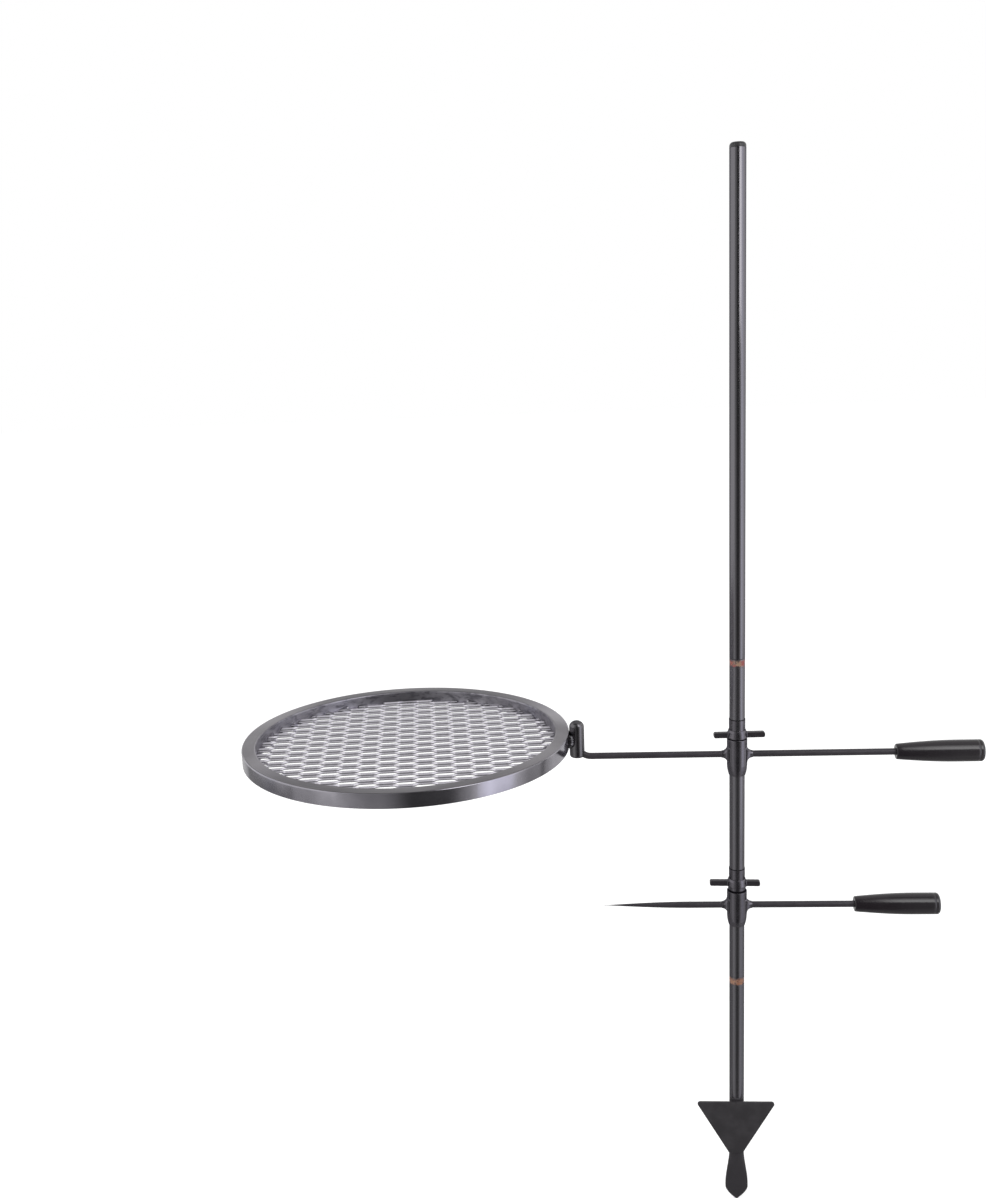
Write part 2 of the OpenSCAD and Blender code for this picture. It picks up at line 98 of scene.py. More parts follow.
POLE_R = high("upper_pole").x
POLE_BORE_R = POLE_R - 1.5 * MM
LOWER_TUBE_TOP = low("joint_ring").z
UPPER_TUBE_FOOT = low("upper_pole").z
POLE_TOP = high("pole_cap").z
CAP_FOOT = high("upper_pole").z
TIP_Z = low("lower_pole").z
PADDLE_HALF_W = high("lower_pole").x
BAND_LOW, BAND_HIGH = low("depth_mark").z, high("depth_mark").z
UPPER_ARM_Z = (low("grate_arm_grip").z + high("grate_arm_grip").z) / 2
LOWER_ARM_Z = (low("skewer_arm_grip").z + high("skewer_arm_grip").z) / 2
HUB_TOP = low("upper_wing_collar").z - 1 * MM - UPPER_ARM_Z
ROD_R = (high("skewer_arm_grip_rod").z - low("skewer_arm_grip_rod").z) / 2
GRATE_R = (high("grate_rim").y - low("grate_rim").y) / 2
GRATE_CENTRE = Vector((low("grate_rim").x + GRATE_R, 0, 0))
RIM_LOW, RIM_TOP = low("grate_rim").z, high("grate_rim").z
MESH_Z = low("grate_mesh").z
MESH_R = (high("grate_mesh").y - low("grate_mesh").y) / 2
SOCKET_X = (low("grate_socket").x + high("grate_socket").x) / 2
SOCKET_R = (high("grate_socket").x - low("grate_socket").x) / 2

# Sizes that only the looks have
STAKE_SIDES = 64
GRIP_POCKET_R = 6.07 * MM
MESH_PITCH, ROW_GAP, MESH_SLANT = 38.5 * MM, 9.5 * MM, math.radians(7.3)
MESH_WALL = MESH_R - 0.02 * MM
STRAND_W, STRAND_T, STRAND_TILT = 3.05 * MM, 1.2 * MM, math.radians(29)
STRAND_SECTION = [(-1, -0.6), (-0.9, -1), (0.9, -1), (1, -0.6), (1, 0.5),
                  (0.86, 0.93), (0.5, 1), (-0.8, 1), (-1, 0.5)]


# Ways to make a mesh

def angles(count):
    """Evenly spaced angles of a closed ring."""
    return [FULL_TURN * i / count for i in range(count)]


def quarter(steps):
    """Angles from 0 to 90 degrees, with both ends."""
    return [RIGHT_ANGLE * i / steps for i in range(steps + 1)]


def clamped(t):
    return max(0.0, min(1.0, t))


def ease(t):
    """A soft step from 0 to 1."""
    t = clamped(t)
    return t * t * (3 - 2 * t)


def along(axis, origin):
    """A place whose Z points along the axis from the origin."""
    turn = Vector(axis).to_track_quat("Z", "Y").to_matrix().to_4x4()
    return Matrix.Translation(origin) @ turn


def stand_for(obj, node, sharp=40):
    """Cleans obj's mesh, links it, and lets it stand for a CAD node, on its body and in its finish."""
    bm = bmesh.new()
    bm.from_mesh(obj.data)
    bmesh.ops.remove_doubles(bm, verts=bm.verts, dist=SAME_SPOT)
    bmesh.ops.dissolve_degenerate(bm, edges=bm.edges, dist=SAME_SPOT)
    bmesh.ops.recalc_face_normals(bm, faces=bm.faces)
    for face in bm.faces:
        face.smooth = True
    for edge in bm.edges:
        if len(edge.link_faces) == 2 and edge.calc_face_angle() > math.radians(sharp):
            edge.smooth = False
    bm.to_mesh(obj.data)
    bm.free()
    if obj.name not in bpy.context.scene.collection.objects:
        bpy.context.scene.collection.objects.link(obj)
    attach(obj, nodes[node]["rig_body"])
    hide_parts(node)
    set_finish(obj, slot_of[node])


def piece(name, verts, faces, node, sharp=40):
    """A smooth-shaded mesh that stands for a CAD node."""
    mesh = bpy.data.meshes.new(name)
    mesh.from_pydata(verts, [], faces)
    stand_for(bpy.data.objects.new(name, mesh), node, sharp)


def softened(corners, radius, steps=4):
    """A closed outline whose corners off the axis are short arcs, no longer than their sides allow."""
    most = 0.45
    out = []
    for i, corner in enumerate(corners):
        here = Vector(corner)
        back, ahead = Vector(corners[i - 1]) - here, Vector(corners[(i + 1) % len(corners)]) - here
        if here.x <= TINY or back.length < TINY or ahead.length < TINY:
            out.append(tuple(here))
            continue
        reach = min(radius, most * back.length, most * ahead.length)
        start, end = here + back.normalized() * reach, here + ahead.normalized() * reach
        for k in range(steps + 1):
            t = k / steps
            out.append(tuple(start.lerp(here, t).lerp(here.lerp(end, t), t)))
    return out


def rounded(wall, top, across, up, steps=12):
    """A rounded upper corner of an outline, from its wall to its top."""
    return [(wall - across + across * math.cos(a), top - up + up * math.sin(a)) for a in quarter(steps)]


def turned(name, outline, node, place=Matrix.Identity(4), segments=96, sharp=40):
    """A closed outline of (radius, height) points turned round the place's Z."""
    verts = [place @ Vector((r * math.cos(a), r * math.sin(a), z))
             for a in angles(segments) for r, z in outline]
    faces = []
    count = len(outline)
    for s in range(segments):
        t = (s + 1) % segments
        for i in range(count):
            j = (i + 1) % count
            if outline[i][0] <= TINY and outline[j][0] <= TINY:
                continue
            faces.append((s * count + i, s * count + j, t * count + j, t * count + i))
    piece(name, verts, faces, node, sharp)


def lofted(rings):
    """Vertices and faces of a closed skin over rings that each have as many points."""
    count = len(rings[0])
    verts = [p for ring in rings for p in ring]
    faces = []
    for r in range(len(rings) - 1):
        for i in range(count):
            j = (i + 1) % count
            faces.append((r * count + i, r * count + j, (r + 1) * count + j, (r + 1) * count + i))
    faces.append(tuple(range(count))[::-1])
    faces.append(tuple((len(rings) - 1) * count + i for i in range(count)))
    return verts, faces


def cast_from(name, node):
    """A casting's soft form: the CAD node's own shape with its edges and inner corners rounded."""
    voxel, rounds, strength, keep = 0.33 * MM, 5, 0.5, 0.4
    obj = bpy.data.objects.new(name, nodes[node].data.copy())
    bpy.context.scene.collection.objects.link(obj)
    remesh = obj.modifiers.new("remesh", "REMESH")
    remesh.mode = "VOXEL"
    remesh.voxel_size = voxel
    smooth = obj.modifiers.new("smooth", "SMOOTH")
    smooth.factor = strength
    smooth.iterations = rounds
    thin = obj.modifiers.new("thin", "DECIMATE")
    thin.ratio = keep
    shaped = bpy.data.meshes.new_from_object(obj.evaluated_get(bpy.context.evaluated_depsgraph_get()))
    obj.modifiers.clear()
    obj.data = shaped
    stand_for(obj, node, sharp=75)


# The stake

def stake_section(z):
    """Half width, half thickness and squareness of the stake's pressed end at a height."""
    neck, full_width, full_press, shoulder = -66 * MM, -110 * MM, -98 * MM, -113.5 * MM
    flat_half, squareness = 2.5 * MM, 1.6
    press = ease((neck - z) / (neck - full_width))
    half_w = POLE_R + (PADDLE_HALF_W - POLE_R) * press
    half_t = POLE_R + (flat_half - POLE_R) * ease((neck - z) / (neck - full_press))
    point = clamped((shoulder - z) / (shoulder - TIP_Z))
    half_w *= 1 - 0.94 * point ** 1.6
    half_t *= 1 - 0.6 * point ** 3
    return half_w, half_t, 2 + squareness * press


def stake_ring(z):
    """The pressed end's outline at a height: an ellipse drawn towards a bar with round corners."""
    half_w, half_t, power = stake_section(z)
    ring = []
    for a in angles(STAKE_SIDES):
        c, s = math.cos(a), math.sin(a)
        ring.append(Vector((half_w * math.copysign(abs(c) ** (2 / power), c),
                            half_t * math.copysign(abs(s) ** (2 / power), s), z)))
    return ring


def make_stake():
    """The lower tube: its open mouth, the groove under its band, and its pressed and pointed end."""
    groove, lip, steps = 0.4 * MM, 0.15 * MM, 44
    bore_foot, tube_foot, press_top = LOWER_TUBE_TOP - 60 * MM, -40 * MM, -64 * MM
    tube = [(POLE_BORE_R, bore_foot), (POLE_BORE_R, LOWER_TUBE_TOP),
            (POLE_R - lip, LOWER_TUBE_TOP), (POLE_R, LOWER_TUBE_TOP - lip),
            (POLE_R, BAND_HIGH + lip), (POLE_R - lip, BAND_HIGH),
            (POLE_R - groove, BAND_HIGH), (POLE_R - groove, BAND_LOW),
            (POLE_R - lip, BAND_LOW), (POLE_R, BAND_LOW - lip), (POLE_R, 0), (POLE_R, tube_foot)]
    rings = [[Vector((r * math.cos(a), r * math.sin(a), z)) for a in angles(STAKE_SIDES)] for r, z in tube]
    rings += [stake_ring(press_top + (TIP_Z - press_top) * (i / steps)) for i in range(steps + 1)]
    piece("stake_tube", *lofted(rings), "lower_pole", sharp=35)


def make_plate():
    """The foot plate with softened edges."""
    flat, corner, soft = math.radians(1), math.radians(60), 0.5 * MM
    mesh = nodes["foot_plate"].data.copy()
    bm = bmesh.new()
    bm.from_mesh(mesh)
    bmesh.ops.remove_doubles(bm, verts=bm.verts, dist=SAME_SPOT)
    bmesh.ops.dissolve_limit(bm, angle_limit=flat, verts=bm.verts, edges=bm.edges)
    rim = [e for e in bm.edges if len(e.link_faces) == 2 and e.calc_face_angle() > corner]
    bmesh.ops.bevel(bm, geom=rim, offset=soft, segments=3, profile=0.6, affect="EDGES")
    bmesh.ops.triangulate(bm, faces=[f for f in bm.faces if len(f.verts) > 4])
    bm.to_mesh(mesh)
    bm.free()
    stand_for(bpy.data.objects.new("foot_plate_painted", mesh), "foot_plate")


def bead(start, end, radius, ripple, seed):
    """Rings of a weld bead whose surface rises and falls from one drop of metal to the next."""
    sides, rings_per_drop, fewest = 14, 5, 8
    rings = []
    length = (end - start).length
    steps = max(fewest, int(length / ripple) * rings_per_drop)
    place = along(end - start, start)
    for k in range(steps + 1):
        t = k / steps
        drop = (t * length / ripple + seed) % 1
        swell = 0.86 + 0.14 * math.sin(math.pi * drop) + 0.05 * math.sin(7.3 * t * length / ripple + seed)
        r = radius * swell * min(1, (min(t, 1 - t) * length / radius + 0.15) ** 0.5)
        lean = 0.3 * ripple * math.sin(math.pi * drop)
        rings.append([place @ Vector((r * math.cos(a), r * math.sin(a), t * length + lean * math.sin(a)))
                      for a in angles(sides)])
    return rings


def make_beads(name, node, starts, run, radius, ripple):
    """Weld beads that all run the same way, each with ripples of its own."""
    verts, faces = [], []
    for n, start in enumerate(starts):
        more, skin = lofted(bead(start, start + run, radius, ripple, seed=0.37 * n))
        faces += [tuple(i + len(verts) for i in face) for face in skin]
        verts += more
    piece(name, verts, faces, node, sharp=80)


def make_plate_welds():
    """Two beads down the back of the foot plate."""
    node = "foot_plate_welds"
    foot, top = low(node).z, high(node).z
    side, back = 5.6 * MM, high(node).y - 3.2 * MM
    above, short = 1 * MM, 2 * MM
    make_beads("plate_weld_beads", node, [Vector((s * side, back, foot + above)) for s in (-1, 1)],
               Vector((0, 0, top - foot - short)), radius=2.3 * MM, ripple=2.6 * MM)


def make_socket_welds():
    """Two beads between the socket's barrel and the rim."""
    side, inset, below, short = 8 * MM, 0.9 * MM, 0.6 * MM, 1.5 * MM
    make_beads("socket_weld_beads", "socket_welds",
               [Vector((SOCKET_X - SOCKET_R + inset, s * side, RIM_LOW - below)) for s in (-1, 1)],
               Vector((0, 0, RIM_TOP - RIM_LOW - short)), radius=4.3 * MM, ripple=2.8 * MM)


def make_upper_tube():
    """The upper tube, with its lower edge broken."""
    edge, soft = 0.4 * MM, 0.12 * MM
    corners = [(POLE_BORE_R, UPPER_TUBE_FOOT), (POLE_R - edge, UPPER_TUBE_FOOT),
               (POLE_R, UPPER_TUBE_FOOT + edge), (POLE_R, CAP_FOOT), (POLE_BORE_R, CAP_FOOT)]
    turned("upper_tube", softened(corners, soft, steps=2), "upper_pole")


def make_cap():
    """Domed plug whose head is a hair smaller than the tube, so that a seam shows."""
    plug_r, plug_foot = POLE_BORE_R - 0.05 * MM, low("pole_cap").z
    head_r, dome, seam = POLE_R - 0.04 * MM, 3.5 * MM, 0.25 * MM
    outline = [(0, plug_foot), (plug_r - seam, plug_foot), (plug_r, plug_foot + seam), (plug_r, CAP_FOOT),
               (head_r - seam, CAP_FOOT), (head_r, CAP_FOOT + seam),
               *rounded(head_r, POLE_TOP, dome, dome, steps=10), (0, POLE_TOP)]
    turned("domed_cap", outline, "pole_cap")


# The arms

def make_castings():
    """The hubs and the wing collars of both clamps."""
    for name, node in (("grate_hub_cast", "grate_arm_hub"), ("skewer_hub_cast", "skewer_arm_hub"),
                       ("upper_wing_cast", "upper_wing_collar"), ("lower_wing_cast", "lower_wing_collar")):
        cast_from(name, node)


def grip_measures(node, arm_z):
    """A grip's start, with Z along it, its length and its largest radius."""
    place = along((1, 0, 0), Vector((low(node).x, 0, arm_z)))
    return place, high(node).x - low(node).x, (high(node).z - low(node).z) / 2


def make_grip(prefix, arm_z):
    """A moulded grip: a softened mouth, a slow swell, and a pocket for the nut at its far end."""
    node = prefix + "_grip"
    place, length, big_r = grip_measures(node, arm_z)
    small_r, mouth, swell, steps = 8.1 * MM, 1.3 * MM, 62 * MM, 32
    bore, end_edge = ROD_R + 0.05 * MM, 0.25 * MM
    nut = low(prefix + "_grip_nut").x - low(node).x - 0.05 * MM
    outline = [(bore, 0.9 * MM), (bore + 0.5 * MM, 0.2 * MM), (bore + 1.1 * MM, 0)]
    outline += [(small_r - mouth + mouth * math.sin(a), mouth * (1 - math.cos(a))) for a in quarter(6)]
    for k in range(1, steps + 1):
        t = mouth + (length - end_edge - mouth) * k / steps
        outline.append((small_r + (big_r - small_r) * math.sin(RIGHT_ANGLE * min(t / swell, 1)), t))
    outline += [(big_r - 0.2 * MM, length), (GRIP_POCKET_R, length), (GRIP_POCKET_R, nut), (bore, nut)]
    turned(prefix + "_grip_moulded", outline, node, place, segments=128)


def make_grip_cap(prefix, arm_z):
    """The cap behind a grip's seam, with a rounded crown and a shallow dish in its face."""
    grip, node = prefix + "_grip", prefix + "_grip_cap"
    place, length, big_r = grip_measures(grip, arm_z)
    plug_r, plug_foot = GRIP_POCKET_R - 0.05 * MM, low(node).x - low(grip).x
    cap_r, crown, seam, dish = big_r - 0.03 * MM, 3.2 * MM, 0.25 * MM, 0.35 * MM
    top = length + (high(node).x - high(grip).x)
    outline = [(0, plug_foot), (plug_r, plug_foot), (plug_r, length), (cap_r - seam, length),
               (cap_r, length + seam), *rounded(cap_r, top, crown, crown, steps=10),
               (0.55 * cap_r, top), (0.5 * cap_r, top - dish), (0, top - dish)]
    turned(prefix + "_grip_cap_moulded", outline, node, place, segments=128, sharp=30)


def make_grate_rod():
    """The straight rod, its bend and the peg that stands in the socket."""
    start, peg_top = high("grate_arm_rod").x, high("grate_arm_rod").z
    bend_r, edge, sides, straight_steps = 14.5 * MM, 1 * MM, 48, 24
    corner = SOCKET_X + bend_r
    path = [(Vector((start + (corner - start) * k / straight_steps, 0, UPPER_ARM_Z)), 0.0)
            for k in range(straight_steps + 1)]
    path += [(Vector((corner - bend_r * math.sin(a), 0, UPPER_ARM_Z + bend_r * (1 - math.cos(a)))), a)
             for a in quarter(16)[1:]]
    path += [(Vector((SOCKET_X, 0, z)), RIGHT_ANGLE) for z in (peg_top - edge, peg_top)]
    rings = []
    for n, (centre, heading) in enumerate(path):
        r = ROD_R - (edge if n == len(path) - 1 else 0)
        side, up = Vector((0, 1, 0)), Vector((math.sin(heading), 0, math.cos(heading)))
        rings.append([centre + side * (r * math.cos(a)) + up * (r * math.sin(a)) for a in angles(sides)])
    piece("grate_rod_bent", *lofted(rings), "grate_arm_rod")


def make_rod(name, node, arm_z):
    """A straight rod with its ends' edges broken."""
    start, length, edge = low(node).x, high(node).x - low(node).x, 0.5 * MM
    outline = softened([(0, 0), (ROD_R, 0), (ROD_R, length), (0, length)], edge)
    turned(name, outline, node, along((1, 0, 0), Vector((start, 0, arm_z))), segments=48)


def make_skewer():
    """A rod ground to a long curved point."""
    root, tip = high("skewer").x, low("skewer").x
    taper, tip_r, steps = 95 * MM, 0.25 * MM, 40
    outline = [(0, 0), (ROD_R, 0)]
    for k in range(steps + 1):
        u = 1 - k / steps
        outline.append((max(tip_r, ROD_R * math.sin(RIGHT_ANGLE * u)), root - tip - taper * u))
    outline.append((0, root - tip))
    turned("skewer_ground", outline, "skewer", along((-1, 0, 0), Vector((root, 0, LOWER_ARM_Z))), segments=48)


# The grate

def with_broken_feet(outline):
    """The rim's section with its lower edges broken by a small chamfer."""
    cut = 0.25 * MM
    out = []
    for i, (r, z) in enumerate(outline):
        if z > TINY:
            out.append((r, z))
            continue
        for other in (outline[i - 1], outline[(i + 1) % len(outline)]):
            step = Vector(other) - Vector((r, z))
            out.append(tuple(Vector((r, z)) + step.normalized() * cut))
    return out


def make_rim():
    """Rolled sheet rim, open below: a wall round the mesh, a flat top and an outer wall."""
    width, sheet, inside_bend = 14.8 * MM, 1.6 * MM, 3 * MM
    well_bend, outer_bend = 2.2 * MM, 1.6 * MM
    inner, height = GRATE_R - width, RIM_TOP - RIM_LOW
    outline = [(inner, 0), *rounded(inner, height, -well_bend, well_bend),
               *rounded(GRATE_R, height, outer_bend, outer_bend)[::-1], (GRATE_R, 0),
               (GRATE_R - sheet, 0), (GRATE_R - sheet, height - inside_bend),
               (GRATE_R - inside_bend, height - sheet), (inner + inside_bend, height - sheet),
               (inner + sheet, height - inside_bend), (inner + sheet, 0)]
    place = Matrix.Translation(GRATE_CENTRE + Vector((0, 0, RIM_LOW)))
    turned("rolled_rim", with_broken_feet(outline), "grate_rim", place, segments=320)


def strand_wave(u):
    """A strand's swing along its pitch, from -1 to 1: straight flanks, and flats where rows are bonded."""
    flat, straight, soft = 0.185, 0.55, 0.45
    u = u % 1.0
    u = u if u < 0.5 else 1 - u
    t = clamped((u - flat) / (0.5 - 2 * flat))
    return 1 - 2 * (straight * t + soft * ease(t))


def strand_runs(row):
    """(x, y, wave) points along one row of the mesh, in the stretches that lie inside the rim's wall."""
    swing = (ROW_GAP - STRAND_W * math.cos(STRAND_TILT)) / 2
    step = MESH_PITCH / 20
    half = math.ceil(MESH_WALL / step)
    shift = 0.5 if row % 2 else 0.0
    runs, run = [], []
    for i in range(-half, half + 1):
        x = i * step
        wave = strand_wave(x / MESH_PITCH + shift)
        y = row * ROW_GAP + swing * wave
        if math.hypot(x, y) < MESH_WALL - STRAND_W / 4:
            run.append((x, y, wave))
        elif run:
            runs.append(run)
            run = []
    return runs + [run] if run else runs


def strand_ring(x, y, wave):
    """The strand's tilted section round one of its points, kept inside the wall."""
    climb = STRAND_W / 2 * math.sin(STRAND_TILT)
    mid_z = MESH_Z + 2 * climb + STRAND_T / 2 * math.cos(STRAND_TILT)
    ring = []
    for a, b in STRAND_SECTION:
        across, thick = a * STRAND_W / 2, b * STRAND_T / 2
        dy = across * math.cos(STRAND_TILT) - thick * math.sin(STRAND_TILT)
        dz = across * math.sin(STRAND_TILT) + thick * math.cos(STRAND_TILT)
        within = min(1, MESH_WALL / math.hypot(x, y + dy))
        ring.append(Vector((x * within, (y + dy) * within, mid_z - wave * climb + dz)))
    return ring


def drawn_to_wall(ring, side):
    """A strand's last ring carried on until each corner meets the round wall; none where the wall is far."""
    far = 5 * MM
    end = [Vector((side * math.sqrt(max(0, MESH_WALL * MESH_WALL - p.y * p.y)), p.y, p.z)) for p in ring]
    return [end] if (end[0] - ring[0]).length < far else []


def shear_and_shade_levels(wave):
    """How dark a strand's colour is at each point of its section: its sides, partly for the cut edge and
    partly painted shade, and a painted shade line on its edge at a bond.
    """
    bond = max(0, 2 * wave - 1)
    return [1, 1, 1, 1, 1, 1, 0.2 + 0.5 * bond, 0.08, 0.8]


def make_mesh():
    """Expanded metal: zigzag strands, tilted one way, each bonded to the rows beside it at its peaks."""
    turn = Matrix.Rotation(MESH_SLANT, 4, "Z")
    rows = int(MESH_WALL / ROW_GAP) + 1
    verts, faces, cut_and_shade_levels = [], [], []
    for row in range(-rows, rows + 1):
        for run in strand_runs(row):
            rings = [strand_ring(*point) for point in run]
            start, end = drawn_to_wall(rings[0], -1), drawn_to_wall(rings[-1], 1)
            waves = [run[0][2]] * len(start) + [wave for x, y, wave in run] + [run[-1][2]] * len(end)
            more, skin = lofted(start + rings + end)
            faces += [tuple(i + len(verts) for i in face) for face in skin]
            verts += [turn @ spot + GRATE_CENTRE for spot in more]
            # painted shade: each point's level darkens the strand's sides and its edge at the bonds
            cut_and_shade_levels += [level for wave in waves for level in shear_and_shade_levels(wave)]
    mesh = bpy.data.meshes.new("expanded_mesh")
    mesh.from_pydata(verts, [], faces)
    mesh.attributes.new("cut_side_and_shade", "FLOAT", "POINT").data.foreach_set("value", cut_and_shade_levels)
    stand_for(bpy.data.objects.new("expanded_mesh", mesh), "grate_mesh", sharp=38)


def make_socket():
    """The barrel that takes the rod's peg: a domed top, a rounded foot and a blind bore."""
    foot, top, r = low("grate_socket").z, high("grate_socket").z, SOCKET_R
    bore, roof = ROD_R + 0.3 * MM, high("grate_arm_rod").z + 0.4 * MM
    dome, heel, mouth = 6.8 * MM, 2.8 * MM, 0.6 * MM
    outline = [(0, roof), (bore, roof), (bore, foot + mouth), (bore + mouth, foot)]
    outline += [(r - heel + heel * math.sin(a), foot + heel - heel * math.cos(a)) for a in quarter(12)]
    outline += rounded(r, top, r, dome)
    turned("socket_barrel", outline, "grate_socket", Matrix.Translation((SOCKET_X, 0, 0)), sharp=50)


# Materials

class Nodes:
    """Short ways to add nodes to a tree. A value is a number, a colour or another node's output."""

    place = None

    def __init__(self, tree):
        self.tree = tree

    def add(self, kind, **properties):
        node = self.tree.nodes.new(kind)
        for key, value in properties.items():
            setattr(node, key, value)
        return node

    def link(self, source, target):
        self.tree.links.new(source, target)

    def fill(self, socket, value):
        """Puts a value into a socket."""
        if isinstance(value, bpy.types.NodeSocket):
            self.link(value, socket)
        elif isinstance(value, tuple) and socket.type == "RGBA":
            socket.default_value = (*value, 1)
        else:
            socket.default_value = value

    def axis(self, letter, source=None):
        node = self.add("ShaderNodeSeparateXYZ")
        self.link(source or self.place, node.inputs[0])
        return node.outputs[letter]

    def math(self, operation, a, b=0.0):
        node = self.add("ShaderNodeMath", operation=operation)
        self.fill(node.inputs[0], a)
        self.fill(node.inputs[1], b)
        return node.outputs[0]

    def times(self, a, b):
        return self.math("MULTIPLY", a, b)

    def plus(self, a, b):
        return self.math("ADD", a, b)

    def choose(self, switch, off, on):
        """One value where the switch is 0, the other where it is 1."""
        node = self.add("ShaderNodeMix")
        for socket, value in ((node.inputs[0], switch), (node.inputs[2], off), (node.inputs[3], on)):
            self.fill(socket, value)
        return node.outputs[0]

    def greys(self, source, low_in, high_in, stops):
        """Grey levels that follow one coordinate, given as (coordinate, level) stops."""
        ramp = self.add("ShaderNodeValToRGB")
        reach = self.add("ShaderNodeMapRange")
        self.link(source, reach.inputs["Value"])
        reach.inputs["From Min"].default_value = low_in
        reach.inputs["From Max"].default_value = high_in
        self.link(reach.outputs[0], ramp.inputs[0])
        elements = ramp.color_ramp.elements
        while len(elements) < len(stops):
            elements.new(0.5)
        for element, (where, level) in zip(elements, stops):
            element.position = (where - low_in) / (high_in - low_in)
            element.color = (level, level, level, 1)
        return ramp.outputs[0]


class Finish(Nodes):
    """One procedural material. Its noises are given by scale, detail and roughness."""

    def __init__(self, name, **settings):
        self.material = bpy.data.materials.new(name)
        self.material.use_nodes = True
        super().__init__(self.material.node_tree)
        self.shader = self.tree.nodes["Principled BSDF"]
        self.place = self.add("ShaderNodeTexCoord").outputs["Object"]
        for key, value in settings.items():
            self.set(key.replace("_", " "), value)

    def set(self, socket, value):
        self.fill(self.shader.inputs[socket], value)

    def fed(self, socket):
        """The output that feeds one of the shader's sockets so far."""
        return self.shader.inputs[socket].links[0].from_socket

    def noise(self, scale, detail=3.0, rough=0.55, source=None, distortion=0.0):
        node = self.add("ShaderNodeTexNoise")
        self.link(source or self.place, node.inputs["Vector"])
        node.inputs["Scale"].default_value = scale
        node.inputs["Detail"].default_value = detail
        node.inputs["Roughness"].default_value = rough
        node.inputs["Distortion"].default_value = distortion
        return node.outputs[0]

    def streaks(self, scales, detail, rough, distortion=0.0, source=None):
        """Noise with a scale of its own along each axis."""
        node = self.add("ShaderNodeMapping")
        self.link(source or self.place, node.inputs["Vector"])
        node.inputs["Scale"].default_value = scales
        return self.noise(1, detail, rough, node.outputs["Vector"], distortion)

    def span(self, value, low_in, high_in, low_out=0.0, high_out=1.0):
        """A soft step from one level to another while the value crosses a span."""
        node = self.add("ShaderNodeMapRange", clamp=True, interpolation_type="SMOOTHSTEP")
        self.fill(node.inputs["Value"], value)
        for key, number in (("From Min", low_in), ("From Max", high_in),
                            ("To Min", low_out), ("To Max", high_out)):
            node.inputs[key].default_value = number
        return node.outputs[0]

    def blend(self, fac, a, b):
        """A mix of two colours."""
        node = self.add("ShaderNodeMix", data_type="RGBA")
        self.fill(node.inputs[0], fac)
        self.fill(node.inputs[6], a)
        self.fill(node.inputs[7], b)
        return node.outputs[2]

    def distance(self, x, y):
        return self.math("SQRT", self.plus(self.times(x, x), self.times(y, y)))

    def bumps(self, *layers):
        """Bump from (height, depth in metres) layers, one over the other."""
        normal = None
        for height, depth in layers:
            node = self.add("ShaderNodeBump")
            node.inputs["Distance"].default_value = depth
            self.link(height, node.inputs["Height"])
            if normal:
                self.link(normal, node.inputs["Normal"])
            normal = node.outputs["Normal"]
        self.set("Normal", normal)


MATT_BLACK, MATT_BLACK_WORN = (0.033, 0.030, 0.034), (0.046, 0.042, 0.047)
CLAMP_LOOK = {"dark": (0.13, 0.123, 0.137), "pale": (0.165, 0.156, 0.174), "rough": 0.23}
SOCKET_LOOK = {"dark": (0.12, 0.115, 0.122), "pale": (0.17, 0.164, 0.172), "rough": 0.2}


def around_grate(f):
    """Coordinates that run round the grate's rim: angle times radius, distance from its centre, height."""
    shifted = f.add("ShaderNodeVectorMath", operation="SUBTRACT")
    f.link(f.place, shifted.inputs[0])
    shifted.inputs[1].default_value = GRATE_CENTRE
    x, y, z = (f.axis(letter, shifted.outputs[0]) for letter in "XYZ")
    joined = f.add("ShaderNodeCombineXYZ")
    f.link(f.times(f.math("ARCTAN2", y, x), GRATE_R), joined.inputs["X"])
    f.link(f.distance(x, y), joined.inputs["Y"])
    f.link(z, joined.inputs["Z"])
    return joined.outputs[0]


def gunmetal(name):
    """Dark plated steel tube: fine lengthwise draw lines, cloudy gloss and a few rub marks."""
    plated, warm, drawn = (0.148, 0.142, 0.157), (0.175, 0.168, 0.184), (0.21, 0.205, 0.215)
    rubbed, rough = (0.27, 0.265, 0.275), 0.19
    f = Finish(name, Metallic=1.0, Specular_Tint=(0.3, 0.3, 0.32))
    lines = f.streaks((900, 900, 4), 2, 0.5)
    cloud = f.streaks((60, 60, 9), 4, 0.6)
    worn = f.span(f.streaks((160, 160, 700), 3, 0.6, distortion=0.4), 0.7, 0.82)
    base = f.blend(f.times(lines, 0.5), f.blend(cloud, plated, warm), drawn)
    f.set("Base Color", f.blend(f.times(worn, 0.35), base, rubbed))
    f.set("Roughness", f.plus(f.span(cloud, 0.3, 0.7, rough - 0.03, rough + 0.04), f.times(lines, 0.05)))
    f.bumps((lines, 0.0015 * MM), (f.noise(150, 2, 0.5), 0.01 * MM))
    return f


def stake_finish():
    """The tube's gunmetal above ground and the plate's matt black below it."""
    ragged, fade_low, fade_high, black_rough = 4 * MM, 3 * MM, 7 * MM, 0.58
    f = gunmetal("stake_coat")
    edge = f.plus(f.axis("Z"), f.times(f.noise(260, 3), ragged))
    buried = f.span(edge, fade_low, fade_high, 1.0, 0.0)
    black = f.blend(f.noise(900, 4, 0.65), MATT_BLACK, MATT_BLACK_WORN)
    f.set("Base Color", f.blend(buried, f.fed("Base Color"), black))
    f.set("Roughness", f.math("MAXIMUM", f.fed("Roughness"), f.times(buried, black_rough)))
    f.set("Metallic", f.span(buried, 0, 1, 0.9, 0.0))
    return f.material


